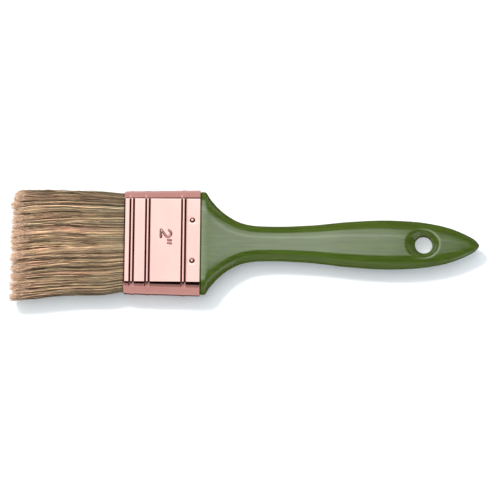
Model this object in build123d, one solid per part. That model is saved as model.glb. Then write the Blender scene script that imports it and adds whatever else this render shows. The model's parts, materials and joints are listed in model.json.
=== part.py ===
from build123d import *
import math
import os

# A flat varnishing brush lying on its back, in millimetres.
# X runs along the brush, from the bristle tips (-X) to the tail of the handle (+X).
# Y runs across its width and Z up through its thickness.
# The origin is on the surface the brush lies on, under the middle of its box.

# Lengths along the brush
LENGTH = 220.0
BRISTLE_OUT = 52.6
FERRULE_LENGTH = 35.7
TANG_LENGTH = 12.0

# Ferrule: a formed sheet sleeve with flat faces, round sides and three raised beads
SHEET = 0.38
MOUTH_WIDTH = 49.2
HEEL_WIDTH = 50.8
FERRULE_THICKNESS = 14.5
CREASE_Y = 19.8
BEADS_FROM_MOUTH = (3.7, 11.1, 28.0)
BEAD_WIDTH = 2.6
BEAD_HEIGHT = 0.5
BEAD_SIDE_HEIGHT = 0.18
BEAD_STEPS = (-1.0, -0.62, -0.31, 0.0, 0.31, 0.62, 1.0)

# Nails through the ferrule into the handle's tang, two on each face
NAIL_FROM_HEEL = 3.6
NAIL_Y = 9.7
NAIL_SHANK_RADIUS = 0.8
NAIL_SHANK_LENGTH = 6.0
NAIL_HEAD_RADIUS = 1.35
NAIL_HEAD_HEIGHT = 0.45

# Handle: distance from the ferrule's edge, half width, half thickness, squareness of the section
HANDLE_STATIONS = (
    (0.0, 24.75, 6.75, 7.3),
    (2.3, 24.50, 6.72, 7.3),
    (4.7, 21.20, 6.42, 6.2),
    (8.5, 16.80, 6.10, 5.0),
    (14.0, 12.45, 5.78, 4.0),
    (20.0, 9.60, 5.52, 3.4),
    (27.0, 8.40, 5.34, 3.1),
    (36.0, 8.25, 5.25, 3.0),
    (52.0, 8.95, 5.40, 3.0),
    (71.0, 10.90, 5.70, 3.0),
    (88.0, 11.75, 5.55, 2.9),
    (101.0, 11.25, 4.80, 2.5),
    (110.0, 10.10, 4.10, 2.3),
    (118.0, 8.20, 3.45, 2.2),
    (125.0, 5.40, 2.80, 2.1),
    (131.7, 1.80, 1.50, 2.0),
)
NOSE_LENGTH = 3.0  # the stretch over which the tail rounds off
SHOULDER_LENGTH = 12.0  # the stretch next to the ferrule where the outline turns most
SHOULDER_STEP = 1.0
GRIP_STEP = 3.6
NOSE_ANGLES_DEG = (12, 27, 42, 57, 70, 80, 86)

# Hanging hole: a round hole between two conical dishes
HOLE_FROM_HEEL = 105.5
HOLE_RADIUS = 4.15
HOLE_WALL = 3.0
DISH_RADIUS = 7.45

# Bristles, the plug between their two banks and the resin that holds their roots
ROOT_HALF_WIDTH = 23.8
ROOT_HALF_THICKNESS = 6.7
RESIN_HALF_WIDTH = 24.1
RESIN_FROM_MOUTH = 12.5
PLUG_HALF_WIDTH = 19.0
PLUG_THICK_END = 4.4
PLUG_THIN_END = 1.2
PLUG_FROM_MOUTH = 1.5
PLUG_IN_RESIN = 3.5

# Distance from the mouth, half width and half thickness of the free tuft
TUFT_STATIONS = (
    (6.0, 23.85, 6.75),
    (18.0, 24.45, 6.95),
    (32.0, 25.30, 7.05),
    (44.0, 26.25, 6.90),
    (50.0, 26.70, 6.00),
    (52.6, 26.75, 4.20),
)
TUFT_STEPS = 12

# The bend: the tuft swings about an axis across the brush, a little outside the ferrule
BEND_FROM_MOUTH = 9.0
BEND_CLEARANCE = 0.3
BEND_WEDGE_DEG = 34.0

# Places worked out from the lengths
MOUTH_X = -LENGTH / 2 + BRISTLE_OUT
HEEL_X = MOUTH_X + FERRULE_LENGTH
MID_Z = FERRULE_THICKNESS / 2 + BEAD_HEIGHT
BEND_X = MOUTH_X - BEND_FROM_MOUTH
HOLE_X = HEEL_X + HOLE_FROM_HEEL
NAIL_X = HEEL_X - NAIL_FROM_HEEL
TANG_END_X = HEEL_X - TANG_LENGTH
RESIN_X = MOUTH_X + RESIN_FROM_MOUTH
SECTION_POINTS = 6  # points on a quarter of a spline section
REACH = 200.0  # more than any half size, for cutting boxes


def across(x):
    """The plane across the brush at x, its own x along Y and its own y along Z."""
    return Plane(origin=(x, 0, MID_Z), x_dir=(0, 1, 0), z_dir=(1, 0, 0))


def pad_section(x, half_width, half_thickness, squareness):
    """A closed section with broad flat faces and round sides, squarer as squareness rises."""
    quarter = [(0.0, half_thickness)]
    for i in range(1, SECTION_POINTS + 1):
        y = half_width * math.sin(math.pi / 2 * i / SECTION_POINTS)
        z = half_thickness * math.sqrt(1 - (y / half_width) ** squareness)
        quarter.append((y, z))
    right = quarter + [(y, -z) for y, z in reversed(quarter[:-1])]
    left = [(-y, -z) for y, z in right]
    return across(x) * make_face([Spline(*right), Spline(*left)])


def stadium_squareness(half_width, half_thickness):
    """The squareness that gives a section sides as round as its thickness."""
    return 2 * half_width / half_thickness


def station_slope(stations, i, column):
    """The slope of a smooth curve at station i that never swings past its stations."""
    if i == 0 or i == len(stations) - 1:
        i = max(i, 1)
        rise = stations[i][column] - stations[i - 1][column]
        return rise / (stations[i][0] - stations[i - 1][0])
    before = stations[i][0] - stations[i - 1][0]
    after = stations[i + 1][0] - stations[i][0]
    slope_before = (stations[i][column] - stations[i - 1][column]) / before
    slope_after = (stations[i + 1][column] - stations[i][column]) / after
    if slope_before * slope_after <= 0:
        return 0.0
    weight_before = 2 * after + before
    weight_after = after + 2 * before
    total = weight_before + weight_after
    return total / (weight_before / slope_before + weight_after / slope_after)


def profile(stations, s):
    """Every column of the stations at the distance s, on smooth curves through them."""
    i = 0
    while i < len(stations) - 2 and s > stations[i + 1][0]:
        i += 1
    length = stations[i + 1][0] - stations[i][0]
    t = (s - stations[i][0]) / length
    values = []
    for column in range(1, len(stations[0])):
        start = stations[i][column]
        end = stations[i + 1][column]
        leave = station_slope(stations, i, column) * length
        arrive = station_slope(stations, i + 1, column) * length
        value = (1 + 2 * t) * (1 - t) ** 2 * start + t * t * (3 - 2 * t) * end
        values.append(value + t * (1 - t) ** 2 * leave - t * t * (1 - t) * arrive)
    return values


def bead_rise(from_mouth):
    """How far up a bead the sheet is, from 0 on the flat to 1 on a crest."""
    for bead in BEADS_FROM_MOUTH:
        offset = abs(from_mouth - bead) / (BEAD_WIDTH / 2)
        if offset < 1:
            return (1 + math.cos(math.pi * offset)) / 2
    return 0.0


def ferrule_section(from_mouth, inset):
    """The sleeve's section, moved inwards by inset: flats between creases, arcs at the sides."""
    rise = bead_rise(from_mouth)
    flare = (HEEL_WIDTH - MOUTH_WIDTH) / 2 * from_mouth / FERRULE_LENGTH
    side = MOUTH_WIDTH / 2 + flare + BEAD_SIDE_HEIGHT * rise - inset
    face = FERRULE_THICKNESS / 2 + BEAD_HEIGHT * rise - inset
    crease = CREASE_Y - inset / 2
    outline = [
        Line((crease, face), (-crease, face)),
        ThreePointArc((-crease, face), (-side, 0), (-crease, -face)),
        Line((-crease, -face), (crease, -face)),
        ThreePointArc((crease, -face), (side, 0), (crease, face)),
    ]
    return across(MOUTH_X + from_mouth) * make_face(outline)


def ferrule_body(inset):
    """A solid of the sleeve's outline, beads included, moved inwards by inset."""
    stations = [0.0]
    for bead in BEADS_FROM_MOUTH:
        stations += [bead + step * BEAD_WIDTH / 2 for step in BEAD_STEPS]
    stations.append(FERRULE_LENGTH)
    return loft([ferrule_section(s, inset) for s in stations], ruled=True)


def nail_shank(side, y):
    """A shank driven into the tang from the face on side (+1 top, -1 bottom)."""
    depth_z = MID_Z + side * (FERRULE_THICKNESS / 2 - NAIL_SHANK_LENGTH / 2)
    return Pos(NAIL_X, y, depth_z) * Cylinder(NAIL_SHANK_RADIUS, NAIL_SHANK_LENGTH)


def nail_head(side, y):
    """A low dome: the cap of a sphere, resting on the ferrule's face."""
    sphere_radius = (NAIL_HEAD_RADIUS**2 + NAIL_HEAD_HEIGHT**2) / (2 * NAIL_HEAD_HEIGHT)
    face_z = MID_Z + side * FERRULE_THICKNESS / 2
    ball = Pos(NAIL_X, y, face_z - side * (sphere_radius - NAIL_HEAD_HEIGHT)) * Sphere(sphere_radius)
    beyond = Pos(NAIL_X, y, face_z + side * NAIL_HEAD_RADIUS) * Box(
        2 * sphere_radius, 2 * sphere_radius, 2 * NAIL_HEAD_RADIUS
    )
    return ball & beyond


def each_nail(shape):
    """shape(side, y) for the two nails on each face."""
    return [shape(side, y) for side in (1, -1) for y in (NAIL_Y, -NAIL_Y)]


def ferrule():
    sleeve = ferrule_body(0.0) - ferrule_body(SHEET)
    for shank in each_nail(nail_shank):
        sleeve -= shank
    return sleeve


def ferrule_nails():
    nails = [nail_shank(side, y) + nail_head(side, y) for side in (1, -1) for y in (NAIL_Y, -NAIL_Y)]
    return Compound(children=nails)


def hanging_hole():
    """The cutter for the hanging hole: a cylinder with a widening cone at each end."""
    cutter = Pos(HOLE_X, 0, MID_Z) * Cylinder(HOLE_RADIUS, REACH)
    face_half = profile(HANDLE_STATIONS, HOLE_FROM_HEEL)[1]
    dish_depth = face_half - HOLE_WALL / 2
    slope = (DISH_RADIUS - HOLE_RADIUS) / dish_depth
    cone_height = 2 * dish_depth
    wide = HOLE_RADIUS + slope * cone_height
    middle = HOLE_WALL / 2 + cone_height / 2
    cutter += Pos(HOLE_X, 0, MID_Z + middle) * Cone(HOLE_RADIUS, wide, cone_height)
    cutter += Pos(HOLE_X, 0, MID_Z - middle) * Cone(wide, HOLE_RADIUS, cone_height)
    return cutter


def handle_section(from_heel, nose_factor=1.0):
    width, thickness, squareness = profile(HANDLE_STATIONS, from_heel)
    return pad_section(HEEL_X + from_heel, width * nose_factor, thickness * nose_factor, squareness)


def grip():
    """The handle beyond the ferrule, through close sections and round the nose of the tail."""
    nose_start = HANDLE_STATIONS[-1][0] - NOSE_LENGTH
    shoulder_steps = round(SHOULDER_LENGTH / SHOULDER_STEP)
    grip_steps = round((nose_start - SHOULDER_LENGTH) / GRIP_STEP)
    sections = []
    for i in range(shoulder_steps):
        sections.append(handle_section(SHOULDER_LENGTH * i / shoulder_steps))
    for i in range(grip_steps + 1):
        step = (nose_start - SHOULDER_LENGTH) / grip_steps
        sections.append(handle_section(SHOULDER_LENGTH + step * i))
    for angle in NOSE_ANGLES_DEG:
        turn = math.radians(angle)
        sections.append(handle_section(nose_start + NOSE_LENGTH * math.sin(turn), math.cos(turn)))
    return loft(sections)


def handle():
    tang = extrude(handle_section(0.0), -TANG_LENGTH)
    body = grip() + tang - hanging_hole()
    for shank in each_nail(nail_shank):
        body -= shank
    return body


def spacer_plug():
    """A wedge between the two banks of bristle, thin towards the mouth; it leaves the paint well."""
    thin_x = MOUTH_X + PLUG_FROM_MOUTH
    thick_x = RESIN_X + PLUG_IN_RESIN
    profile = Polyline(
        (thin_x, MID_Z - PLUG_THIN_END / 2),
        (thick_x, MID_Z - PLUG_THICK_END / 2),
        (thick_x, MID_Z + PLUG_THICK_END / 2),
        (thin_x, MID_Z + PLUG_THIN_END / 2),
        close=True,
    )
    return extrude(Plane.XZ * make_face(profile), PLUG_HALF_WIDTH, both=True)


def resin_set():
    """The cast block that holds the bristle roots, between them and the tang."""
    squareness = stadium_squareness(RESIN_HALF_WIDTH, ROOT_HALF_THICKNESS)
    face = pad_section(RESIN_X, RESIN_HALF_WIDTH, ROOT_HALF_THICKNESS, squareness)
    return extrude(face, TANG_END_X - RESIN_X) - spacer_plug()


def bend_cylinder(radius):
    """A cylinder about the bend axis."""
    return Pos(BEND_X, 0, MID_Z) * Rot(90, 0, 0) * Cylinder(radius, REACH)


def bristle_roots():
    """The fixed part of both banks, from the resin to the bend, where it ends in a round nose."""
    squareness = stadium_squareness(ROOT_HALF_WIDTH, ROOT_HALF_THICKNESS)
    start = BEND_X - 2 * ROOT_HALF_THICKNESS
    face = pad_section(start, ROOT_HALF_WIDTH, ROOT_HALF_THICKNESS, squareness)
    bundle = extrude(face, RESIN_X - start)
    behind = Pos(BEND_X + REACH / 2, 0, MID_Z) * Box(REACH, REACH, REACH)
    return bundle & (behind + bend_cylinder(ROOT_HALF_THICKNESS)) - spacer_plug()


def bristle_bank(side):
    """One bank of roots: the front one above the middle plane, the rear one below it."""
    half = Pos(0, 0, MID_Z + side * REACH / 2) * Box(2 * REACH, REACH, REACH)
    return bristle_roots() & half


def bristle_tuft():
    """The free bristles beyond the bend, hollowed to swing round the nose of the roots."""
    sections = []
    first = TUFT_STATIONS[0][0]
    for i in range(TUFT_STEPS + 1):
        from_mouth = first + (BRISTLE_OUT - first) * math.sin(math.pi / 2 * i / TUFT_STEPS)
        width, thickness = profile(TUFT_STATIONS, from_mouth)
        squareness = stadium_squareness(width, thickness)
        sections.append(pad_section(MOUTH_X - from_mouth, width, thickness, squareness))
    body = loft(sections)
    body -= bend_cylinder(ROOT_HALF_THICKNESS + BEND_CLEARANCE)
    for side in (1, -1):
        wedge = Pos(BEND_X, 0, MID_Z) * Rot(0, side * BEND_WEDGE_DEG, 0)
        body -= wedge * Pos(REACH / 2, 0, 0) * Box(REACH, REACH, 2 * REACH)
    return body


def write(node, shape):
    export_step(shape, f"parts/{node}.step")


os.makedirs("parts", exist_ok=True)
write("handle", handle())
write("ferrule", ferrule())
write("ferrule_nails", ferrule_nails())
write("resin_set", resin_set())
write("spacer_plug", spacer_plug())
write("front_bristle_bank", bristle_bank(1))
write("rear_bristle_bank", bristle_bank(-1))
write("bristle_tuft", bristle_tuft())
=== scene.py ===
import json
import math

import bpy
import numpy as np
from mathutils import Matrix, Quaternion, Vector


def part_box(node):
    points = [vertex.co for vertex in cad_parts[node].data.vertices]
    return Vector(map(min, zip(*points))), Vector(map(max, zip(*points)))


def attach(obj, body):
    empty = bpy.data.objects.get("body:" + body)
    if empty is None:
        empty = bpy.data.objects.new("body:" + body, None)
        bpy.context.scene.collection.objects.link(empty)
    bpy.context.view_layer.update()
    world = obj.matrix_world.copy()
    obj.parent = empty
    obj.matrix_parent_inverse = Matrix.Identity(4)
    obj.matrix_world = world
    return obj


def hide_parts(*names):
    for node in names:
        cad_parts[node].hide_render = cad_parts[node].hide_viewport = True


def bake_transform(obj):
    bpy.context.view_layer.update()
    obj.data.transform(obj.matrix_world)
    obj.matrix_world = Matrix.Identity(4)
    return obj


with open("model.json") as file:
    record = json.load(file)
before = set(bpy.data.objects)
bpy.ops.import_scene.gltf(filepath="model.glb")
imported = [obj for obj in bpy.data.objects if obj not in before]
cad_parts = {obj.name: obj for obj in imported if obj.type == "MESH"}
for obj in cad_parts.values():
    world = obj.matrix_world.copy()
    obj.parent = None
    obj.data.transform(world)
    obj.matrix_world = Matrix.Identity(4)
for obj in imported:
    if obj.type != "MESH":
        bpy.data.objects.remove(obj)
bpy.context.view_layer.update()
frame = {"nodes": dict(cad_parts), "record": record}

# Lengths are in millimetres and become metres through MM. The studio and the camera are in metres.
MM = 0.001

# Places from the frame
FERRULE_LOW, FERRULE_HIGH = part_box("ferrule")
MOUTH_X = FERRULE_LOW.x / MM
HEEL_X = FERRULE_HIGH.x / MM
TAIL_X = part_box("handle")[1].x / MM
MID_Z = (FERRULE_LOW.z + FERRULE_HIGH.z) / 2 / MM
HOLE = frame["record"]["mounts"][0]
HOLE_X = HOLE["pos_m"][0] / MM
HOLE_FROM_HEEL = HOLE_X - HEEL_X
HOLE_RADIUS = HOLE["dims"]["r_mm"]
HOLE_WALL = HOLE["dims"]["length_mm"]

# Ferrule sheet: flat faces, round sides and three beads
FERRULE_LENGTH = HEEL_X - MOUTH_X
SHEET = 0.38
FLAT_Z = 7.25
CREASE_Y = 19.8
CREASE_SOFTNESS = 0.22
MOUTH_HALF = 24.6
HEEL_HALF = 25.4
SIDE_HALF = (MOUTH_HALF + HEEL_HALF) / 2
OUTLINE_STEP = 0.04
INNER_RINGS = 16
BEADS_FROM_MOUTH = (3.7, 11.1, 28.0)
BEAD_HALF = 1.3
BEAD_HEIGHT = 0.5
BEAD_SIDE_HEIGHT = 0.18
BEAD_FADE = 2.3
LIP_DEPTH = 0.22
LIP_LENGTH = 1.3
SEAM_Z = 0.8
SEAM_DEPTH = 0.13
SEAM_WIDTH = 0.2

# Size mark: a figure two and two inch strokes, placed from the lower left corner of the mark
MARK_FROM_MOUTH = 19.6
MARK_Y = 1.5
MARK_HALF_WIDTH = 4.0
MARK_HALF_HEIGHT = 2.65
MARK_HEIGHT = 0.42
MARK_STROKE = 0.58
MARK_SOFTNESS = 0.46
MARK_STROKES = (
    ((0.5, 0.45), (4.2, 0.45)),
    ((0.5, 0.45), (3.75, 2.95)),
    ((5.6, 5.1), (5.45, 3.9)),
    ((7.1, 5.1), (6.95, 3.9)),
)
MARK_BOW_CENTRE = (2.35, 3.6)
MARK_BOW_RADIUS = 1.6
MARK_BOW_DEG = (-28, 172)

# Nails, each in a faint ring that it presses into the sheet
NAIL_X = HEEL_X - 3.6
NAIL_Y = 9.7
NAIL_RADIUS = 1.35
NAIL_DOME = 0.45
NAIL_STEPS = 40
SHANK_RADIUS = 0.8
SHANK_DEPTH = 1.2
HEAD_UNDERSIDE = 0.12
DIMPLE_RADIUS = 1.4
DIMPLE_DEPTH = 0.10
DIMPLE_WIDTH = 0.45

# Handle: distance from the ferrule's edge, half width, half thickness, squareness
HANDLE_STATIONS = np.array([
    (0.0, 24.75, 6.75, 7.3),
    (2.3, 24.50, 6.72, 7.3),
    (4.7, 21.20, 6.42, 6.2),
    (8.5, 16.80, 6.10, 5.0),
    (14.0, 12.45, 5.78, 4.0),
    (20.0, 9.60, 5.52, 3.4),
    (27.0, 8.40, 5.34, 3.1),
    (36.0, 8.25, 5.25, 3.0),
    (52.0, 8.95, 5.40, 3.0),
    (71.0, 10.90, 5.70, 3.0),
    (88.0, 11.75, 5.55, 2.9),
    (101.0, 11.25, 4.80, 2.5),
    (110.0, 10.10, 4.10, 2.3),
    (118.0, 8.20, 3.45, 2.2),
    (125.0, 5.40, 2.80, 2.1),
    (131.7, 1.80, 1.50, 2.0),
])
HANDLE_LENGTH = TAIL_X - HEEL_X
HANDLE_HALF_COLUMNS = 120
TANG_LENGTH = 12.0
NOSE_LENGTH = 3.0
SHOULDER_END = 14.0
DISH_RADIUS = 7.45
DISH_LIP = 1.2
DISH_REACH = 11.0
HOLE_LIP = 0.35
CUTTER_REACH = 9
GROOVE_FROM_FERRULE = 0.32
GROOVE_DEPTH = 0.32
GROOVE_WIDTH = 0.24

# Tuft of bristle: its section at the mouth, and how it flares, swells and drifts on the way out
BRISTLE_OUT = 52.6
TUFT_HALF_WIDTH = 23.65
TUFT_HALF_THICKNESS = 6.5
RELEASE_LENGTH = 9.0
RELEASE_WIDTH = 0.75
FLARE = 2.0
SWELL = 0.4
TIP_THINNING = 0.9
DRIFT_AT_MOUTH = 0.35
DRIFT_AT_TIP = 1.5

# Hairs
SEED = 7
LOCK_EDGE = 27.0
WAVE_COUNT = 5
WAVE_ACROSS = 0.06
WAVE_UP = 0.04
STRAY_SHARE = 0.05
STRAY_REACH = 2.0
EDGE_Y = 21
SPLAY_LENGTH = 6.0
DARK_SHARE = 0.08
PALE_SHARE = 0.88
SHELL_LAYERS = ((0.0, 620), (0.22, 560), (0.48, 520), (0.8, 460), (1.2, 380))  # inset, hairs
SHELL_INSET = 0.12
SHELL_SEGMENTS = 15
ROOT_DEPTH = 2.0
END_SPACING = 0.42
END_HALF_WIDTH = 22.8
END_HALF_THICKNESS = 5.6
END_INSET = 0.9
END_SEGMENTS = 6
CORNER_Y = 18.0
CORNER_WIDTH = 5.6
CORNER_WEAR = 3.2
CHISEL = 3.3
CORE_ROOT = -6.0
CORE_TIP = 44.0
CORE_INSET = 1.5
CORE_COLUMNS = 96

# Studio, in metres unless a name ends in MM
FLOOR_HALF_MM = 900.0
FLOOR_DROP_MM = 0.05
FLOOR_GLOW = 0.035
# Painted light: the floor glows more in a spot under the hanging hole, so that the floor seen through
# the hole looks lit.
PAINTED_LIGHT_UNDER_HOLE = 0.27
SPOT_INNER = 0.005
SPOT_OUTER = 0.010
SOFTBOX_RADIANCE = 2.45
SOFTBOX_HEIGHT = 0.8
SOFTBOX_WIDTH = 1.3
SOFTBOX_DEPTH = 1.8
# The softbox's level at angles from straight up, along the brush and across it
SOFTBOX_ALONG = (
    (-30, 0), (-24, 1), (-2, 1), (1, 0.93), (3, 0.80), (8, 0.70), (12, 0.66), (18, 0.42), (30, 0),
)
SOFTBOX_ACROSS = (
    (-14, 0), (-12.5, 1), (15, 1), (17.5, 1.5), (20, 1.5), (23.5, 1), (38, 0.9), (46, 0.1), (48, 0),
)
KEY_DIRECTION = Vector((-0.53, 0.577, 1.0))
KEY_DISTANCE = 1.4
KEY_SIZE = 0.22
KEY_RADIANCE = 102.0
FILL_COLOUR = (0.85, 0.95, 1.0)
METAL_CARD_COLOUR = (1.0, 0.83, 0.82)
SKY_COLOUR = (0.84, 0.94, 1.0)
SKY_IN_REFLECTIONS = (0.9, 0.38, 0.28)
WHITE = (1.0, 1.0, 1.0)

# Camera, in metres
CAMERA_DISTANCE = 1.5
CAMERA_TIP_DEG = 11.5
CAMERA_ROLL_DEG = 0.52
CAMERA_AIM = Vector((0.0019, -0.0030, MID_Z * MM))
LENS = 229.0
SENSOR_WIDTH = 36.0


# Shader helpers

def new_material(name):
    """A node material and its Principled shader."""
    material = bpy.data.materials.new(name)
    material.use_nodes = True
    return material, material.node_tree.nodes["Principled BSDF"]


def add_node(material, kind, **values):
    """A new node, with each value set on the socket or the property of that name."""
    node = material.node_tree.nodes.new(kind)
    for key, value in values.items():
        if key in node.inputs:
            node.inputs[key].default_value = value
        else:
            setattr(node, key, value)
    return node


def join(material, source, target):
    material.node_tree.links.new(source, target)


def object_coordinates(material, scale):
    """Object coordinates stretched by scale, in pattern units a metre."""
    place = add_node(material, "ShaderNodeTexCoord")
    mapping = add_node(material, "ShaderNodeMapping", Scale=scale)
    join(material, place.outputs["Object"], mapping.inputs["Vector"])
    return mapping.outputs["Vector"]


def noise(material, scale, detail=3.0):
    """A noise pattern on object coordinates stretched by scale."""
    node = add_node(material, "ShaderNodeTexNoise", Scale=1.0, Detail=detail)
    join(material, object_coordinates(material, scale), node.inputs["Vector"])
    return node.outputs["Fac"]


def ramp(material, factor, stops):
    """A colour ramp over factor, with (position, colour) stops."""
    node = add_node(material, "ShaderNodeValToRGB")
    elements = node.color_ramp.elements
    while len(elements) < len(stops):
        elements.new(0.5)
    for element, (position, colour) in zip(elements, stops):
        element.position = position
        element.color = (*colour, 1.0)
    join(material, factor, node.inputs["Fac"])
    return node.outputs["Color"]


def grey(level):
    return (level, level, level)


def remap(material, factor, low, high):
    """The factor, from 0 to 1, turned into low to high."""
    node = add_node(material, "ShaderNodeMapRange")
    node.inputs["To Min"].default_value = low
    node.inputs["To Max"].default_value = high
    join(material, factor, node.inputs["Value"])
    return node.outputs["Result"]


def attribute(material, name):
    """A colour attribute of the mesh, as a number."""
    return add_node(material, "ShaderNodeAttribute", attribute_name=name).outputs["Fac"]


def mix_colour(material, factor, a, b, blend_type="MIX"):
    """Mixes two colours, each an RGB tuple or a socket, by a factor that is a number or a socket."""
    node = add_node(material, "ShaderNodeMix", data_type="RGBA", blend_type=blend_type)
    for value, target in ((factor, node.inputs[0]), (a, node.inputs[6]), (b, node.inputs[7])):
        if isinstance(value, bpy.types.NodeSocket):
            join(material, value, target)
        elif isinstance(value, tuple):
            target.default_value = (*value, 1.0)
        else:
            target.default_value = value
    return node.outputs[2]


def bump(material, shader, height, distance_mm, strength=1.0):
    """Relief on a shader, from a height that spans distance_mm."""
    node = add_node(material, "ShaderNodeBump", Strength=strength, Distance=distance_mm * MM)
    join(material, height, node.inputs["Height"])
    join(material, node.outputs["Normal"], shader.inputs["Normal"])


# Materials

def lacquer_material():
    """Glossy green lacquer with a faint orange peel and a slight drift of tone."""
    material, shader = new_material("green_lacquer")
    tone = noise(material, (60, 60, 60), detail=2.0)
    green = ramp(material, tone, [(0.3, (0.042, 0.070, 0.0085)), (0.7, (0.049, 0.080, 0.0105))])
    grain = noise(material, (50, 1000, 1000))
    grain = ramp(material, grain, [(0.35, grey(0.86)), (0.65, grey(1.16))])
    join(material, mix_colour(material, 1.0, green, grain, "MULTIPLY"), shader.inputs["Base Color"])
    gloss = noise(material, (300, 300, 300), detail=4.0)
    join(material, remap(material, gloss, 0.08, 0.16), shader.inputs["Roughness"])
    shader.inputs["IOR"].default_value = 1.78
    peel = noise(material, (45, 90, 90), detail=2.0)
    bump(material, shader, peel, 0.15, 0.6)
    return material


def copper_material():
    """Bright copper-plated sheet with fine rolling lines across the brush."""
    material, shader = new_material("copper_plate")
    tint = noise(material, (90, 40, 90), detail=3.0)
    metal = ramp(material, tint, [(0.3, (0.475, 0.288, 0.262)), (0.7, (0.515, 0.318, 0.288))])
    join(material, metal, shader.inputs["Base Color"])
    shader.inputs["Metallic"].default_value = 1.0
    lines = noise(material, (2500, 60, 60), detail=3.0)
    join(material, remap(material, lines, 0.09, 0.18), shader.inputs["Roughness"])
    bump(material, shader, lines, 0.004, 0.3)
    return material


def bristle_material():
    """Natural bristle: hue and shade differ from hair to hair, hairs deep in the tuft carry painted
    shade, and the split ends are paler.
    """
    material, shader = new_material("hog_bristle")
    patch = add_node(material, "ShaderNodeMath", operation="ADD")
    join(material, attribute(material, "hue"), patch.inputs[0])
    join(material, remap(material, noise(material, (60, 260, 260)), -0.75, 0.75), patch.inputs[1])
    hue = ramp(material, patch.outputs["Value"], [
        (0.0, (0.30, 0.222, 0.130)),
        (0.35, (0.39, 0.262, 0.145)),
        (0.65, (0.415, 0.257, 0.155)),
        (1.0, (0.40, 0.220, 0.138)),
    ])
    # The shade attribute holds each hair's own tone and the painted shade of the hairs deep in the tuft.
    shade = ramp(material, attribute(material, "shade"), [
        (0.0, (0.30, 0.29, 0.28)),
        (0.5, WHITE),
        (1.0, (2.0, 2.05, 2.1)),
    ])
    body = mix_colour(material, 1.0, hue, shade, "MULTIPLY")
    streak = noise(material, (65, 2600, 2600), detail=2.0)
    mottle = ramp(material, streak, [(0.34, (0.66, 0.65, 0.64)), (0.66, grey(1.42))])
    body = mix_colour(material, 1.0, body, mottle, "MULTIPLY")
    speck = ramp(material, noise(material, (1500, 1500, 1500), detail=1.0), [
        (0.40, (0.60, 0.365, 0.235)),
        (0.60, (1.0, 0.73, 0.52)),
    ])
    pale = mix_colour(material, attribute(material, "tip"), body, speck)
    join(material, pale, shader.inputs["Base Color"])
    join(material, remap(material, streak, 0.35, 0.6), shader.inputs["Roughness"])
    return material


def core_material():
    """The brown shade deep in the bristles, streaked along them."""
    material, shader = new_material("bristle_shadow")
    streak = noise(material, (25, 900, 900), detail=3.0)
    brown = ramp(material, streak, [(0.3, (0.13, 0.085, 0.05)), (0.7, (0.28, 0.19, 0.11))])
    join(material, brown, shader.inputs["Base Color"])
    shader.inputs["Roughness"].default_value = 0.8
    return material


def resin_material():
    """Clouded amber resin."""
    material, shader = new_material("cast_resin")
    cloud = noise(material, (250, 250, 250), detail=3.0)
    amber = ramp(material, cloud, [(0.3, (0.16, 0.09, 0.03)), (0.7, (0.26, 0.17, 0.07))])
    join(material, amber, shader.inputs["Base Color"])
    shader.inputs["Roughness"].default_value = 0.35
    return material


def plug_material():
    """Unfinished wood with its grain across the brush."""
    material, shader = new_material("raw_wood")
    grain = noise(material, (1500, 40, 1500), detail=4.0)
    wood = ramp(material, grain, [(0.3, (0.42, 0.27, 0.14)), (0.7, (0.62, 0.45, 0.27))])
    join(material, wood, shader.inputs["Base Color"])
    shader.inputs["Roughness"].default_value = 0.7
    bump(material, shader, grain, 0.05)
    return material


def floor_material():
    """Pale and matt, with a faint even glow, and a painted pool of light: the glow is stronger in a spot
    under the hanging hole.
    """
    material, shader = new_material("pale_floor")
    speck = noise(material, (40, 40, 40), detail=2.0)
    white = ramp(material, speck, [(0.3, grey(0.84)), (0.7, grey(0.85))])
    join(material, white, shader.inputs["Base Color"])
    shader.inputs["Roughness"].default_value = 0.9
    shader.inputs["Specular IOR Level"].default_value = 0.1
    shader.inputs["Emission Color"].default_value = (0.93, 0.98, 1.0, 1)
    # Painted light: a pool of glow round the point on the floor under the hanging hole.
    spot = add_node(material, "ShaderNodeVectorMath", operation="DISTANCE")
    join(material, object_coordinates(material, (1, 1, 1)), spot.inputs[0])
    spot.inputs[1].default_value = (HOLE_X * MM, 0, 0)
    glow = add_node(material, "ShaderNodeMapRange")
    glow.inputs["From Min"].default_value = SPOT_INNER
    glow.inputs["From Max"].default_value = SPOT_OUTER
    glow.inputs["To Min"].default_value = PAINTED_LIGHT_UNDER_HOLE
    glow.inputs["To Max"].default_value = FLOOR_GLOW
    join(material, spot.outputs["Value"], glow.inputs["Value"])
    join(material, glow.outputs["Result"], shader.inputs["Emission Strength"])
    return material


# Mesh helpers

def build_mesh(name, vertices, faces, material):
    """A smooth-shaded object from millimetre vertices; faces is a list of index lists."""
    mesh = bpy.data.meshes.new(name)
    mesh.from_pydata((np.asarray(vertices) * MM).tolist(), [], faces)
    mesh.polygons.foreach_set("use_smooth", [True] * len(mesh.polygons))
    mesh.materials.append(material)
    mesh.update()
    piece = bpy.data.objects.new(name, mesh)
    bpy.context.scene.collection.objects.link(piece)
    return piece


def grid_faces(rows, columns, wrap_rows=False):
    """Quads over a grid of rows by columns whose columns close into a ring."""
    last = rows if wrap_rows else rows - 1
    i = np.arange(last)[:, None]
    j = np.arange(columns)[None, :]
    a = i * columns + j
    b = i * columns + (j + 1) % columns
    c = (i + 1) % rows * columns + (j + 1) % columns
    d = (i + 1) % rows * columns + j
    return np.stack([a, b, c, d], axis=-1).reshape(-1, 4).tolist()


def smooth_step(t):
    """0 up to t = 0, 1 from t = 1, and a smooth rise between them."""
    t = np.clip(t, 0, 1)
    return t * t * (3 - 2 * t)


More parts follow.
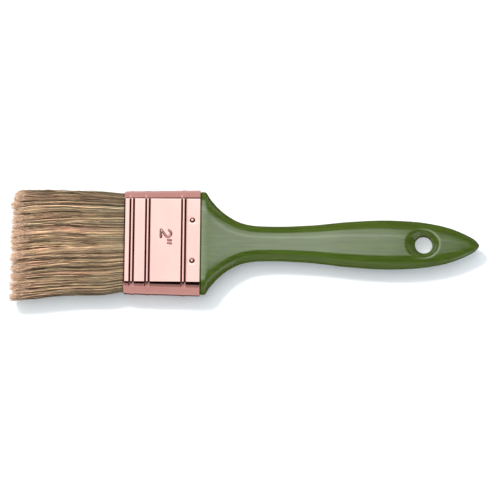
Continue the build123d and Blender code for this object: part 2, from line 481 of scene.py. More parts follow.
def hermite(stations, s):
    """Every column of the stations at each s, on smooth curves that never swing past them."""
    x = stations[:, 0]
    step = np.diff(x)
    out = []
    for y in stations[:, 1:].T:
        slope = np.diff(y) / step
        m = np.zeros(len(x))
        m[0], m[-1] = slope[0], slope[-1]
        before, after = step[:-1], step[1:]
        w1, w2 = 2 * after + before, after + 2 * before
        same = slope[:-1] * slope[1:] > 0
        safe = np.where(same[:, None], np.stack([slope[:-1], slope[1:]], 1), 1.0)
        m[1:-1] = np.where(same, (w1 + w2) / (w1 / safe[:, 0] + w2 / safe[:, 1]), 0.0)
        i = np.clip(np.searchsorted(x, s, side="right") - 1, 0, len(x) - 2)
        t = (s - x[i]) / step[i]
        value = (1 + 2 * t) * (1 - t) ** 2 * y[i] + t * t * (3 - 2 * t) * y[i + 1]
        value += step[i] * (t * (1 - t) ** 2 * m[i] - t * t * (1 - t) * m[i + 1])
        out.append(value)
    return np.stack(out, -1)


# Handle

def handle_profile(s):
    """Half width, half thickness and squareness at s, eased so that reflections run evenly."""
    s = np.asarray(s, float)
    spread = 3.0 * smooth_step((s - 4.0) / 14.0) * smooth_step((HANDLE_LENGTH - s) / 8.0)
    profile = np.zeros((len(s), 3))
    share = np.linspace(-2.0, 2.0, 9)
    weights = np.exp(-(share**2) / 2)
    weights /= weights.sum()
    for k, weight in zip(share, weights):
        wide = hermite(HANDLE_STATIONS, np.clip(s + 0.4 * k * spread, 0, HANDLE_LENGTH))
        thick = hermite(HANDLE_STATIONS, np.clip(s + k * (spread + 1.0), 0, HANDLE_LENGTH))
        profile += weight * np.column_stack([wide[:, 0], thick[:, 1:]])
    nose = np.clip((s - (HANDLE_LENGTH - NOSE_LENGTH)) / NOSE_LENGTH, 0, 1)
    profile[:, :2] *= np.sqrt(1 - nose**2)[:, None]
    return profile


def handle_rows():
    """Distances of the handle's rings from the ferrule's edge, close where it turns or is cut."""
    tang = np.linspace(-TANG_LENGTH, -0.5, 8)
    groove = np.arange(0.0, 1.0, 0.09)
    shoulder = np.arange(1.1, SHOULDER_END, 0.28)
    grip = np.arange(SHOULDER_END, HOLE_FROM_HEEL - DISH_REACH, 0.7)
    dish = np.arange(grip[-1] + 0.5, HOLE_FROM_HEEL + DISH_REACH, 0.26)
    tail = np.arange(dish[-1] + 0.4, HANDLE_LENGTH - NOSE_LENGTH, 0.4)
    turn = np.linspace(0.0, math.radians(88), 18)
    nose = HANDLE_LENGTH - NOSE_LENGTH + NOSE_LENGTH * np.sin(turn)
    return np.concatenate([tang, groove, shoulder, grip, dish, tail, nose])


def dished(x, y, z):
    """z above the middle plane, lowered into a cone with a soft lip round the hole."""
    away = np.hypot(x - HOLE_X, y)
    face = hermite(HANDLE_STATIONS, np.array([HOLE_FROM_HEEL]))[0, 1]
    slope = (face - HOLE_WALL / 2) / (DISH_RADIUS - HOLE_RADIUS)
    cone = np.maximum(HOLE_WALL / 2 + (away - HOLE_RADIUS) * slope, 0.4)
    share = np.clip(0.5 + 0.5 * (cone - z) / DISH_LIP, 0, 1)
    return cone + (z - cone) * share - DISH_LIP * share * (1 - share)


def lathe(name, outline, x, y, z, material, steps):
    """A closed solid of revolution about Z from (radius, height) points, ends on the axis."""
    rings = [(r, h) for r, h in outline if r > 0]
    turn = np.arange(steps) * 2 * math.pi / steps
    vertices = [(x + r * math.cos(a), y + r * math.sin(a), z + h) for r, h in rings for a in turn]
    faces = grid_faces(len(rings), steps)
    vertices += [(x, y, z + outline[0][1]), (x, y, z + outline[-1][1])]
    low, high = len(vertices) - 2, len(vertices) - 1
    last = (len(rings) - 1) * steps
    for j in range(steps):
        faces.append([low, (j + 1) % steps, j])
        faces.append([high, last + j, last + (j + 1) % steps])
    return build_mesh(name, vertices, faces, material)


def cut(piece, cutter):
    """Cuts cutter out of piece and removes it."""
    modifier = piece.modifiers.new("cut", "BOOLEAN")
    modifier.operation = "DIFFERENCE"
    modifier.solver = "EXACT"
    modifier.object = cutter
    graph = bpy.context.evaluated_depsgraph_get()
    mesh = bpy.data.meshes.new_from_object(piece.evaluated_get(graph), depsgraph=graph)
    piece.modifiers.clear()
    piece.data = mesh
    bpy.data.objects.remove(cutter)


def mark_sharp(piece, degrees):
    """Smooth shading, kept sharp across edges that turn more than the angle."""
    mesh = piece.data
    mesh.polygons.foreach_set("use_smooth", [True] * len(mesh.polygons))
    mesh.set_sharp_from_angle(angle=math.radians(degrees))


def handle_rings(s):
    """Points (ring, column, xyz) round the handle at the distances s, dished but without the hole."""
    width, thickness, squareness = handle_profile(np.maximum(s, 0.0)).T
    groove = GROOVE_DEPTH * np.exp(-(((s - GROOVE_FROM_FERRULE) / GROOVE_WIDTH) ** 2))
    across = np.sin(np.linspace(-math.pi / 2, math.pi / 2, HANDLE_HALF_COLUMNS + 1))
    height = np.sqrt(np.clip(1 - np.abs(across)[None, :] ** squareness[:, None], 0, 1))
    y = (width - groove)[:, None] * across[None, :]
    z = (thickness - groove)[:, None] * height
    x = np.broadcast_to((HEEL_X + s)[:, None], y.shape)
    top = np.where(np.abs(across) > 0.999, z, dished(x, y, z))
    ring_y = np.concatenate([y, y[:, -2:0:-1]], axis=1)
    ring_z = np.concatenate([top, -top[:, -2:0:-1]], axis=1)
    ring_x = np.broadcast_to((HEEL_X + s)[:, None], ring_y.shape)
    return np.stack([ring_x, ring_y, MID_Z + ring_z], -1)


def hole_cutter(material):
    """A round cutter for the hanging hole, widening where the wall turns into the dishes."""
    wall = HOLE_WALL / 2
    wide = HOLE_RADIUS + 2 * HOLE_LIP
    outline = [(0, -CUTTER_REACH), (wide, -CUTTER_REACH)]
    for a in np.linspace(math.pi / 2, 0, 6):
        radius = HOLE_RADIUS + HOLE_LIP * (1 - math.cos(a))
        outline.append((radius, -wall + HOLE_LIP * 0.8 - HOLE_LIP * math.sin(a)))
    outline += [(r, -h) for r, h in reversed(outline)]
    return lathe("hole_cutter", outline, HOLE_X, 0, MID_Z, material, 128)


def make_handle(material):
    rings = handle_rings(handle_rows())
    rows, columns = rings.shape[:2]
    tail = rows * columns
    last_ring = tail - columns
    vertices = np.vstack([rings.reshape(-1, 3), (TAIL_X, 0, MID_Z)])
    faces = grid_faces(rows, columns)
    faces.append(list(range(columns))[::-1])
    faces += [[last_ring + j, last_ring + (j + 1) % columns, tail] for j in range(columns)]
    piece = build_mesh("handle_body", vertices, [face[::-1] for face in faces], material)
    cut(piece, hole_cutter(material))
    mark_sharp(piece, 40)
    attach(piece, "brush")
    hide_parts("handle")
    return piece


# Ferrule

def distances(line):
    """How far along a line of (y, z) points each of its points is."""
    return np.concatenate([[0], np.cumsum(np.linalg.norm(np.diff(line, axis=0), axis=1))])


def points_at(line, travelled, at):
    """The points of a line that are at the given distances along it."""
    return np.stack([np.interp(at, travelled, line[:, k]) for k in (0, 1)], 1)


def sleeve_outline():
    """Close, even points round the sleeve (y, z), from its top middle, with softened creases."""
    radius = ((SIDE_HALF - CREASE_Y) ** 2 + FLAT_Z**2) / (2 * (SIDE_HALF - CREASE_Y))
    centre = SIDE_HALF - radius
    crease_turn = math.atan2(FLAT_Z, CREASE_Y - centre)
    arc = np.linspace(crease_turn, -crease_turn, 400)
    flat = np.linspace(0, CREASE_Y, 500, endpoint=False)
    right = np.concatenate([
        np.stack([flat, np.full_like(flat, FLAT_Z)], 1),
        np.stack([centre + radius * np.cos(arc), radius * np.sin(arc)], 1),
        np.stack([flat[::-1], np.full_like(flat, -FLAT_Z)], 1),
    ])
    closed = np.concatenate([right, -right, right[:1]])
    travelled = distances(closed)
    count = int(travelled[-1] / OUTLINE_STEP)
    even = points_at(closed, travelled, np.arange(count) * travelled[-1] / count)
    reach = 20
    kernel = np.exp(-(np.arange(-reach, reach + 1) * OUTLINE_STEP / CREASE_SOFTNESS) ** 2 / 2)
    kernel /= kernel.sum()
    padded = np.vstack([even[-reach:], even, even[:reach]])
    return np.stack([np.convolve(padded[:, k], kernel, mode="valid") for k in (0, 1)], 1)


def outline_normals(outline):
    """Unit normals that point out of a closed outline of (y, z) points."""
    tangent = np.roll(outline, -1, 0) - np.roll(outline, 1, 0)
    tangent /= np.linalg.norm(tangent, axis=1)[:, None]
    normal = np.stack([-tangent[:, 1], tangent[:, 0]], 1)
    return normal * np.sign((normal * outline).sum(1))[:, None]


def column_step(y, z):
    """How far apart columns may be at (y, z): close over the creases, the seam and the mark."""
    if abs(abs(y) - CREASE_Y) < 0.9 and abs(z) > FLAT_Z - 1.0:
        return 0.12
    if y > CREASE_Y and abs(z - SEAM_Z) < 0.7:
        return 0.12
    if z > FLAT_Z - 0.6 and -4 < y < 8:
        return 0.16
    return 0.32


def pick_columns(outline):
    """Indices of the outline's points that become columns of the sleeve."""
    picked = [0]
    travelled = 0.0
    for i in range(1, len(outline)):
        travelled += math.hypot(*(outline[i] - outline[i - 1]))
        if travelled >= column_step(*outline[i]):
            picked.append(i)
            travelled = 0.0
    return np.array(picked)


def sleeve_rows():
    """Distances of the sleeve's rings from the mouth, close over the beads and the size mark."""
    rows = [np.linspace(0.0, 1.6, 9)]
    for bead in BEADS_FROM_MOUTH:
        rows.append(bead + np.linspace(-1.35, 1.35, 28))
    rows.append(np.arange(MARK_FROM_MOUTH - 3.4, MARK_FROM_MOUTH + 3.4, 0.16))
    rows.append(np.linspace(0, FERRULE_LENGTH, 34))
    rows = np.unique(np.round(np.concatenate(rows), 4))
    keep = [rows[0]]
    for s in rows[1:]:
        if s - keep[-1] > 0.06:
            keep.append(s)
    keep[-1] = FERRULE_LENGTH
    return np.array(keep)


def segment_distance(u, v, a, b):
    """Distance of points (u, v) from the segment a to b."""
    a, b = np.array(a), np.array(b)
    along = b - a
    t = np.clip(((u - a[0]) * along[0] + (v - a[1]) * along[1]) / (along @ along), 0, 1)
    return np.hypot(u - a[0] - t * along[0], v - a[1] - t * along[1])


def mark_height(s, y):
    """A stamped two-inch mark: glyph tops towards the handle, reading towards -Y."""
    u = MARK_Y + MARK_HALF_WIDTH - y
    v = s - MARK_FROM_MOUTH + MARK_HALF_HEIGHT
    bow_u, bow_v = MARK_BOW_CENTRE
    first, last = MARK_BOW_DEG
    turn = np.degrees(np.arctan2(v - bow_v, u - bow_u))
    on_bow = (turn > first) & (turn < last)
    away = np.where(on_bow, np.abs(np.hypot(u - bow_u, v - bow_v) - MARK_BOW_RADIUS), np.inf)
    for start, end in MARK_STROKES:
        away = np.minimum(away, segment_distance(u, v, start, end))
    return MARK_HEIGHT * smooth_step((MARK_STROKE - away) / MARK_SOFTNESS)


def sleeve_relief(s, y, z, flared):
    """How far the sheet stands out from its plain shape, at s from the mouth."""
    on_face = smooth_step((np.abs(z) - FLAT_Z + BEAD_FADE) / BEAD_FADE)
    rise = BEAD_SIDE_HEIGHT + (BEAD_HEIGHT - BEAD_SIDE_HEIGHT) * on_face
    relief = np.zeros(flared.shape)
    for bead in BEADS_FROM_MOUTH:
        off = np.clip(np.abs(s - bead) / BEAD_HALF, 0, 1)
        relief += rise * (1 - off**2.2) ** 1.3
    relief += np.where(z > 0, mark_height(s, flared) * (np.abs(y) < 10), 0)
    relief -= SEAM_DEPTH * np.exp(-(((z - SEAM_Z) / SEAM_WIDTH) ** 2)) * (y > CREASE_Y)
    from_nail = np.hypot(s - (NAIL_X - MOUTH_X), np.abs(flared) - NAIL_Y)
    relief -= DIMPLE_DEPTH * np.exp(-((from_nail - DIMPLE_RADIUS) / DIMPLE_WIDTH) ** 2) * on_face
    relief -= LIP_DEPTH * np.clip(1 - s / LIP_LENGTH, 0, 1) ** 2
    return relief


def rim(start, end, out):
    """Rings that round the sheet's edge from one surface to the other, bulging along X."""
    rings = []
    for a in np.linspace(0, math.pi, 7)[1:-1]:
        ring = (start + end) / 2 + (start - end) / 2 * math.cos(a)
        ring[:, 0] += out * SHEET / 2 * math.sin(a) - out * SHEET / 2
        rings.append(ring)
    return rings


def make_ferrule(material):
    fine = sleeve_outline()
    picked = pick_columns(fine)
    outline, normal = fine[picked], outline_normals(fine)[picked]
    s = sleeve_rows()[:, None]
    y, z = outline[None, :, 0], outline[None, :, 1]
    half = MOUTH_HALF + (HEEL_HALF - MOUTH_HALF) * s / FERRULE_LENGTH
    beyond = np.maximum(np.abs(y) - CREASE_Y, 0) * (half - CREASE_Y) / (SIDE_HALF - CREASE_Y)
    flared = np.sign(y) * (np.minimum(np.abs(y), CREASE_Y) + beyond)
    relief = sleeve_relief(s, y, z, flared)

    def surface(lift):
        """The sleeve's points, lifted along the normals."""
        lifted_y = flared + lift * normal[None, :, 0]
        lifted_z = z + lift * normal[None, :, 1]
        return np.stack([np.broadcast_to(MOUTH_X + s, lifted_y.shape), lifted_y, lifted_z + MID_Z], -1)

    outer = surface(relief)
    inner = surface(np.maximum(relief, -0.2) - SHEET)
    kept = np.unique(np.linspace(0, len(s) - 1, INNER_RINGS).astype(int))[::-1]
    rings = np.array([*outer, *rim(outer[-1], inner[-1], 1), *inner[kept], *rim(inner[0], outer[0], -1)])
    rows, columns = rings.shape[:2]
    faces = [face[::-1] for face in grid_faces(rows, columns, wrap_rows=True)]
    piece = build_mesh("ferrule_sleeve", rings.reshape(-1, 3), faces, material)
    mark_sharp(piece, 60)
    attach(piece, "brush")
    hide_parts("ferrule")
    return piece


def nail_outline():
    """Points (radius, height) up a nail, from its shank in the sheet over its domed head."""
    sphere = (NAIL_RADIUS**2 + NAIL_DOME**2) / (2 * NAIL_DOME)
    outline = [
        (SHANK_RADIUS, -SHANK_DEPTH),
        (SHANK_RADIUS, -HEAD_UNDERSIDE),
        (NAIL_RADIUS - 0.06, -HEAD_UNDERSIDE),
        (NAIL_RADIUS, -0.05),
    ]
    for a in np.linspace(math.asin(NAIL_RADIUS / sphere), 0.03, 12):
        outline.append((sphere * math.sin(a), sphere * math.cos(a) - sphere + NAIL_DOME))
    return outline


def make_nails(material):
    """Four domed nail heads with short shanks, two on each face, as one piece."""
    outline = nail_outline()
    turn = np.arange(NAIL_STEPS) * 2 * math.pi / NAIL_STEPS
    vertices, faces = [], []
    for side in (1, -1):
        for y in (NAIL_Y, -NAIL_Y):
            first = len(vertices)
            for r, h in outline:
                height = MID_Z + side * (FLAT_Z + h)
                vertices += [(NAIL_X + r * math.cos(a), y + r * math.sin(a), height) for a in turn]
            top = (len(outline) - 1) * NAIL_STEPS
            made = grid_faces(len(outline), NAIL_STEPS)
            made += [list(range(NAIL_STEPS))[::-1], [top + j for j in range(NAIL_STEPS)]]
            if side < 0:
                made = [face[::-1] for face in made]
            faces += [[first + k for k in face] for face in made]
    piece = build_mesh("nail_heads", vertices, faces, material)
    mark_sharp(piece, 50)
    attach(piece, "brush")
    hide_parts("ferrule_nails")
    return piece


# Bristles

def half_width(d):
    """Half the tuft's width at distance d from the mouth."""
    released = RELEASE_WIDTH * smooth_step((d - 0.5) / RELEASE_LENGTH)
    return TUFT_HALF_WIDTH + released + FLARE * np.clip(d, 0, None) / BRISTLE_OUT


def sway(d):
    """How far across the tuft has drifted at distance d from the mouth, as a used brush's does."""
    at_mouth = DRIFT_AT_MOUTH * smooth_step(d / RELEASE_LENGTH)
    return -at_mouth - DRIFT_AT_TIP * smooth_step((d - 28.0) / 26.0)


def half_thickness(d):
    """Half the tuft's thickness at distance d from the mouth."""
    swollen = TUFT_HALF_THICKNESS + SWELL * smooth_step(d / 25.0)
    return swollen - TIP_THINNING * smooth_step((d - 40.0) / 13.0)


def tuft_outline(inset, share):
    """Points (y, z) at shares of the way round the tuft's section at the mouth, inset inwards."""
    width, thickness = half_width(0) - inset, half_thickness(0) - inset
    turn = np.linspace(0, 2 * math.pi, 2000, endpoint=False)
    power = 2 * width / thickness
    y = width * np.sin(turn)
    z = thickness * np.sqrt(np.clip(1 - np.abs(np.sin(turn)) ** power, 0, 1)) * np.sign(np.cos(turn))
    closed = np.stack([np.append(y, y[0]), np.append(z, z[0])], 1)
    travelled = distances(closed)
    return points_at(closed, travelled, share * travelled[-1])


def make_locks(rng, narrow, wide, pull, lean, hue, shade, reach):
    """Clumps of hair over the front and the rear, each pulled, tinted and cut a little differently."""
    locks = {}
    for side in (1, -1):
        gaps = rng.uniform(narrow, wide, int(60 / narrow))
        centres = np.cumsum(gaps) - LOCK_EDGE
        centres = centres[centres < LOCK_EDGE]
        count = len(centres)
        steady = 1 - 0.75 * smooth_step((np.abs(centres) - 16.0) / 6.0)
        locks[side] = {
            "y": centres,
            "pull": rng.uniform(0, pull, count),
            "lean": rng.normal(0, lean, count) * steady,
            "lift": rng.normal(0, 0.25 * lean, count),
            "hue": rng.normal(0, hue, count),
            "shade": rng.normal(0, shade, count),
            "reach": rng.normal(0, reach, count),
        }
    return locks


def own_locks(locks, y0, z0):
    """What each strand takes from its nearest clump."""
    front, rear = (np.abs(y0[:, None] - locks[side]["y"][None, :]).argmin(1) for side in (1, -1))
    return {key: np.where(z0 >= 0, locks[1][key][front], locks[-1][key][rear]) for key in locks[1]}


def make_waves(rng, count):
    """Slow waves that neighbouring bristles share: frequencies across and along, and phases."""
    return [
        (rng.uniform(0.08, 0.45), rng.uniform(0.012, 0.035), rng.uniform(0, 2 * math.pi))
        for _ in range(count)
    ]


def shared_waves(waves, y0, d, out):
    """How far the shared waves move each hair across and up."""
    across, up = np.zeros(d.shape), np.zeros(d.shape)
    for frequency_across, frequency_along, phase in waves:
        angle = 2 * math.pi * (frequency_across * y0[:, None] / 6 + frequency_along * d) + phase
        across += WAVE_ACROSS * smooth_step(out * 2.2) * np.sin(angle)
        up += WAVE_UP * smooth_step(out * 2.2) * np.cos(1.3 * angle)
    return across, up


def own_wobble(rng, d, out):
    """Each hair's own slow swing across and up, which grows on the way out."""
    count = len(d)
    phase = rng.uniform(0, 2 * math.pi, (count, 2, 1))
    pitch = rng.uniform(0.03, 0.08, (count, 2, 1))
    swing = rng.gamma(2.0, 0.075, (count, 2, 1)) * smooth_step(out * 2.5)[:, None, :]
    wobble = swing * np.sin(2 * math.pi * pitch * d[:, None, :] + phase)
    return wobble[:, 0], 0.8 * wobble[:, 1]


def stray_slope(rng, y0):
    """How far each hair ends to one side: nothing for most, and little near the tuft's edges."""
    count = len(y0)
    is_stray = rng.uniform(0, 1, (count, 1)) < STRAY_SHARE
    slope = np.where(is_stray, rng.normal(0, STRAY_REACH, (count, 1)), 0)
    return np.where(np.abs(y0[:, None]) > EDGE_Y, 0.2 * slope, slope)


def strand_lines(rng, y0, z0, first, last, segments, levels, waves):
    """Centre lines (strand, point, xyz) from distance first to last, and each strand's looks."""
    count = len(y0)
    mine = [own_locks(locks, y0, z0) for locks in levels]
    last = last + sum(lock["reach"] for lock in mine)
    t = np.linspace(0, 1, segments + 1)[None, :]
    d = first[:, None] + (last - first)[:, None] * t
    out = np.clip(d / BRISTLE_OUT, 0, 1)
    spread = half_width(d) / half_width(0)
    y = y0[:, None] * spread + sway(d)
    z = z0[:, None] * half_thickness(d) / half_thickness(0)
    hue, shade = rng.normal(0, 0.8, count), rng.normal(0, 1.5, count)
    for lock in mine:
        pull = lock["pull"][:, None] * smooth_step((out - 0.25) / 0.75)
        y = y + (lock["y"] - y0)[:, None] * spread * pull + lock["lean"][:, None] * out**1.3
        z = z + lock["lift"][:, None] * out
        hue = hue + lock["hue"]
        shade = shade + lock["shade"]
    wave_across, wave_up = shared_waves(waves, y0, d, out)
    wobble_across, wobble_up = own_wobble(rng, d, out)
    y = y + wave_across + wobble_across + stray_slope(rng, y0) * out**1.5
    z = z + wave_up + wobble_up
    loose = smooth_step((d - last[:, None] + SPLAY_LENGTH) / SPLAY_LENGTH)
    y = y + rng.normal(0, 0.45, (count, 1)) * loose
    z = z + rng.normal(0, 0.3, (count, 1)) * loose
    odd = rng.uniform(0, 1, count)
    plain = (odd > DARK_SHARE) & (odd < PALE_SHARE)
    shade = np.where(plain, shade, shade + np.where(odd < 0.5, -1.7, 1.9))
    # Painted shade: long hairs are darkened the nearer they lie to the tuft's middle plane, where shade
    # falls deep in the tuft.
    painted_depth_shade = np.clip(1 - np.abs(z0) / half_thickness(0), 0, 0.3) * (last > first + 20)
    looks = {
        "hue": 0.42 + 0.17 * hue,
        "shade": 0.45 + 0.185 * shade - 0.6 * painted_depth_shade,
        "girth": np.where(plain, 1.0, 1.6),
    }
    return np.stack([MOUTH_X - d, y, MID_Z + z], -1), looks


def strand_piece(name, rng, lines, looks, radius, tip_length, material):
    """One mesh of three-sided tapering tubes along the lines, with their colour attributes."""
    count, points = lines.shape[:2]
    left = lines[:, :, 0] - lines[:, -1:, 0]
    out = np.clip((MOUTH_X - lines[:, :, 0]) / BRISTLE_OUT, 0, 1)
    taper = 0.6 + 0.4 * smooth_step(left / 8.0)
    taper[:, -1] = 0.3
    girth = (radius * looks["girth"])[:, None] * taper
    turn = rng.uniform(0, 2 * math.pi, count)[:, None] + np.arange(3)[None, :] * 2 * math.pi / 3
    spokes = np.stack([np.zeros_like(turn), np.cos(turn), np.sin(turn)], -1)
    vertices = lines[:, :, None, :] + girth[:, :, None, None] * spokes[:, None, :, :]
    step = points * 3
    offsets = (np.arange(count) * step)[:, None, None]
    sides = (np.array(grid_faces(points, 3))[None, :, ::-1] + offsets).reshape(-1, 4)
    ends = np.array([[1, 2, 0], [step - 1, step - 2, step - 3]])
    caps = (ends[None] + offsets).reshape(-1, 3)
    piece = build_mesh(name, vertices.reshape(-1, 3), sides.tolist() + caps.tolist(), material)
    values = {
        "tip": smooth_step(1 - left / tip_length[:, None]) * rng.uniform(0.5, 1.0, (count, 1)),
        "hue": looks["hue"][:, None] + 0.45 * (out - 0.5),
        "shade": looks["shade"][:, None] + 0.30 * (out - 0.9),
    }
    for key, value in values.items():
        layer = piece.data.attributes.new(key, "FLOAT", "POINT")
        at_vertices = np.repeat(np.clip(value, 0, 1).reshape(-1), 3)
        layer.data.foreach_set("value", at_vertices.astype(np.float32))
    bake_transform(piece)
    return piece


def tip_reach(y0, outer):
    """How far out the hairs end: chiselled to front and rear, with one worn corner."""
    corner = np.clip((y0 - CORNER_Y) / CORNER_WIDTH, 0, 1) ** 2
    return BRISTLE_OUT + 1.2 - CHISEL * outer**2 - CORNER_WEAR * corner


def outerness(z0):
    """How near the front or rear face a hair is, from 0 in the middle to 1."""
    return np.clip(np.abs(z0) / half_thickness(0), 0, 1)


def make_shell(rng, levels, waves, material):
    """Full-length hairs over the outside of the tuft, front and rear, in layers."""
    layers = []
    for inset, count in SHELL_LAYERS:
        share = (np.arange(count) + rng.uniform(-0.5, 0.5, count)) / count
        layers.append(tuft_outline(inset + SHELL_INSET, share % 1.0))
    y0, z0 = np.concatenate(layers).T
    last = tip_reach(y0, outerness(z0)) - rng.gamma(1.3, 0.9, len(y0))
    first = np.full(len(y0), -ROOT_DEPTH)
    sides = (("front_hairs", "front_bristle_bank", z0 >= 0), ("rear_hairs", "rear_bristle_bank", z0 < 0))
    for name, node, mine in sides:
        lines, looks = strand_lines(
            rng, y0[mine], z0[mine], first[mine], last[mine], SHELL_SEGMENTS, levels, waves
        )
        radius = rng.uniform(0.085, 0.13, mine.sum())
        tip_length = rng.uniform(2.0, 9.0, mine.sum())
        piece = strand_piece(name, rng, lines, looks, radius, tip_length, material)
        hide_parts(node)


def make_ends(rng, levels, waves, material):
    """The ends of the hairs inside the tuft, which fill its tip."""
    y, z = np.meshgrid(
        np.arange(-END_HALF_WIDTH, END_HALF_WIDTH + 0.1, END_SPACING),
        np.arange(-END_HALF_THICKNESS, END_HALF_THICKNESS + 0.1, END_SPACING),
    )
    y = (y + rng.uniform(-0.2, 0.2, y.shape)).ravel()
    z = (z + rng.uniform(-0.2, 0.2, z.shape)).ravel()
    width, thickness = half_width(0) - END_INSET, half_thickness(0) - END_INSET
    inside = np.abs(z) < thickness * np.sqrt(np.clip(1 - np.abs(y / width) ** 7, 0, 1))
    y0, z0 = y[inside], z[inside]
    last = tip_reach(y0, outerness(z0)) + 0.3 - rng.gamma(1.3, 0.8, len(y0))
    first = last - rng.uniform(10.0, 14.0, len(y0))
    lines, looks = strand_lines(rng, y0, z0, first, last, END_SEGMENTS, levels, waves)
    radius = rng.uniform(0.08, 0.13, len(y0))
    tip_length = rng.uniform(2.0, 9.0, len(y0))
    piece = strand_piece("tip_hairs", rng, lines, looks, radius, tip_length, material)
    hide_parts("bristle_tuft")


def make_core(material):
    """A brown body just under the hairs, so that no light passes through the tuft."""
    d = np.linspace(CORE_ROOT, CORE_TIP, 60)
    base = tuft_outline(CORE_INSET, np.arange(CORE_COLUMNS) / CORE_COLUMNS)
    y = base[None, :, 0] * (half_width(d) / half_width(0))[:, None] + sway(d)[:, None]
    z = base[None, :, 1] * (half_thickness(d) / half_thickness(0))[:, None]
    z = z * (1 - 0.35 * smooth_step((d - 38.0) / 6.0))[:, None]
    x = np.broadcast_to((MOUTH_X - d)[:, None], y.shape)
    vertices = np.stack([x, y, MID_Z + z], -1).reshape(-1, 3)
    last_ring = (len(d) - 1) * CORE_COLUMNS
    faces = grid_faces(len(d), CORE_COLUMNS)
    faces += [list(range(CORE_COLUMNS))[::-1], [last_ring + j for j in range(CORE_COLUMNS)]]
    piece = build_mesh("bristle_core", vertices, faces, material)
    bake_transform(piece)


# Floor, light and camera

def make_floor():
    size, z = FLOOR_HALF_MM, -FLOOR_DROP_MM
    corners = [(-size, -size, z), (size, -size, z), (size, size, z), (-size, size, z)]
    floor = build_mesh("floor", corners, [[0, 1, 2, 3]], floor_material())
    floor.visible_glossy = False


def place_light(light, centre, aim):
    """Puts a light at centre, facing aim and hidden from the camera."""
    light.location = centre
    light.rotation_mode = "QUATERNION"
    light.rotation_quaternion = (Vector(aim) - Vector(centre)).to_track_quat("-Z", "Y")
    light.visible_camera = False


def softbox_levels(material, place, size, levels):
    """The softbox's level over its width or depth, from levels at angles from straight up."""
    return ramp(material, place, [
        (0.5 + SOFTBOX_HEIGHT * math.tan(math.radians(degrees)) / size, grey(level))
        for degrees, level in levels
    ])


def make_softbox():
    """The overhead softbox, whose light falls off towards the tail and brightens along one strip."""
    material = bpy.data.materials.new("softbox_glow")
    material.use_nodes = True
    material.node_tree.nodes.clear()
    place = add_node(material, "ShaderNodeTexCoord")
    split = add_node(material, "ShaderNodeSeparateXYZ")
    join(material, place.outputs["Generated"], split.inputs["Vector"])
    along = softbox_levels(material, split.outputs["X"], SOFTBOX_WIDTH, SOFTBOX_ALONG)
    across = softbox_levels(material, split.outputs["Y"], SOFTBOX_DEPTH, SOFTBOX_ACROSS)
    product = mix_colour(material, 1.0, along, across, "MULTIPLY")
    glow = add_node(material, "ShaderNodeEmission")
    glow.inputs["Strength"].default_value = SOFTBOX_RADIANCE
    join(material, product, glow.inputs["Color"])
    out = add_node(material, "ShaderNodeOutputMaterial")
    join(material, glow.outputs["Emission"], out.inputs["Surface"])
    x, y, z = SOFTBOX_WIDTH / 2 / MM, SOFTBOX_DEPTH / 2 / MM, SOFTBOX_HEIGHT / MM
    corners = [(-x, -y, z), (-x, y, z), (x, y, z), (x, -y, z)]
    box = build_mesh("softbox", corners, [[0, 1, 2, 3]], material)
    box.visible_camera = False
    box.visible_shadow = False


def panel(name, centre, aim, width, height, radiance, receivers=None, gloss=True, colour=WHITE):
    """A rectangular light of even radiance, hidden from the camera, for all or only some pieces."""
    data = bpy.data.lights.new(name, "AREA")
    data.shape = "RECTANGLE"
    data.size, data.size_y = width, height
    data.energy = radiance * math.pi * width * height
    data.color = colour
    light = bpy.data.objects.new(name, data)
    place_light(light, centre, aim)
    light.visible_glossy = gloss
    bpy.context.scene.collection.objects.link(light)
    if receivers:
        light.light_linking.receiver_collection = receivers


def receivers_of(name, pieces):
    """A collection of the only pieces that a light falls on."""
    receivers = bpy.data.collections.new(name)
    for piece in pieces:
        receivers.objects.link(piece)
    return receivers


def make_metal_cards(metals):
    """Cards that only the polished metal shows, beside the brush and high round it."""
    looks = {"receivers": metals, "colour": METAL_CARD_COLOUR}
    for name, side, top, bottom, radiance in (
        ("back_card", 1, 0.36, -1.0, 1.06),
        ("front_card", -1, 0.28, -1.0, 1.03),
        ("front_card_top", -1, 0.55, 0.28, 0.55),
    ):
        middle = (top + bottom) / 2
        centre, aim = (-0.04, 0.6 * side, middle), (-0.04, 0, middle)
        panel(name, centre, aim, 0.95, top - bottom, radiance, **looks)
    for x, y in ((-1, -1), (-1, 1), (1, -1), (1, 1)):
        centre = (0.71 * x, 0.65 * y, 0.75)
        panel(f"high_card{x}{y}", centre, (0, 0, 0), 0.5, 0.7, 0.45, **looks)


def make_lights(metal_pieces, handle_piece):
    """The softbox, a small key light, a cool fill and cards for the reflections."""
    make_softbox()
    key = KEY_DIRECTION.normalized() * KEY_DISTANCE
    panel("key", key, (0, 0, 0), KEY_SIZE, KEY_SIZE, KEY_RADIANCE, gloss=False)
    panel("fill", (0.1, -1.1, 0.5), (0, 0, 0), 1.8, 0.8, 1.8, gloss=False, colour=FILL_COLOUR)
    make_metal_cards(receivers_of("metals", metal_pieces))
    lacquered = receivers_of("lacquered", [handle_piece])
    panel("handle_card", (0.05, -0.7, 0.1), (0.05, 0, 0.0), 1.2, 0.9, 0.2, receivers=lacquered)
    for x, y, radiance in ((-1, 1, 0.8), (1, -1, 0.6), (1, 1, 0.3)):
        panel(f"corner_card{x}{y}", (0.8 * x, 0.62 * y, 0.15), (0, 0, 0.15), 0.8, 0.7, radiance)


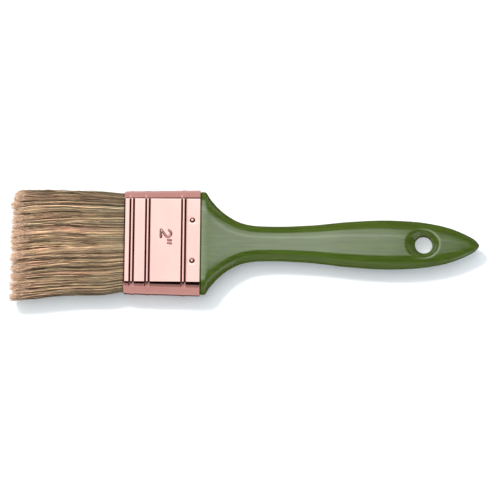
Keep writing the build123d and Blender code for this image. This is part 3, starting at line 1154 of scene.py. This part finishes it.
def make_world():
    """A cool white surround that the camera sees as white and reflections as dim and warm."""
    world = bpy.data.worlds.new("studio")
    bpy.context.scene.world = world
    world.use_nodes = True
    background = world.node_tree.nodes["Background"]
    path = add_node(world, "ShaderNodeLightPath")
    level = remap(world, path.outputs["Is Glossy Ray"], 0.98, 0.1)
    sky = mix_colour(world, path.outputs["Is Camera Ray"], SKY_COLOUR, WHITE)
    sky = mix_colour(world, path.outputs["Is Glossy Ray"], sky, SKY_IN_REFLECTIONS)
    join(world, level, background.inputs["Strength"])
    join(world, sky, background.inputs["Color"])


def make_camera():
    """Above the brush, tipped a little towards -Y, from as far as a long lens needs."""
    data = bpy.data.cameras.new("camera")
    data.lens = LENS
    data.sensor_width = SENSOR_WIDTH
    camera = bpy.data.objects.new("camera", data)
    bpy.context.scene.collection.objects.link(camera)
    tip, roll = math.radians(CAMERA_TIP_DEG), math.radians(CAMERA_ROLL_DEG)
    camera.location = CAMERA_AIM + CAMERA_DISTANCE * Vector((0, -math.sin(tip), math.cos(tip)))
    camera.rotation_mode = "QUATERNION"
    camera.rotation_quaternion = Quaternion((1, 0, 0), tip) @ Quaternion((0, 0, 1), roll)
    bpy.context.scene.camera = camera


def dress(node, material):
    """Gives a CAD node that is shown as it is its own material."""
    materials = frame["nodes"][node].data.materials
    materials.clear()
    materials.append(material)


make_camera()
make_floor()
copper = copper_material()
handle = make_handle(lacquer_material())
ferrule = make_ferrule(copper)
nails = make_nails(copper)
make_lights([ferrule, nails], handle)
make_world()
rng = np.random.RandomState(SEED)
levels = [
    make_locks(rng, 1.6, 4.0, pull=0.10, lean=0.5, hue=0.5, shade=0.3, reach=0.3),
    make_locks(rng, 0.9, 1.9, pull=0.25, lean=0.6, hue=0.6, shade=0.4, reach=0.4),
    make_locks(rng, 0.3, 0.65, pull=0.5, lean=0.5, hue=0.5, shade=1.3, reach=0.3),
]
waves = make_waves(rng, WAVE_COUNT)
hair = bristle_material()
make_shell(rng, levels, waves, hair)
make_ends(rng, levels, waves, hair)
make_core(core_material())
dress("resin_set", resin_material())
dress("spacer_plug", plug_material())

bpy.context.scene.view_settings.view_transform = "Standard"
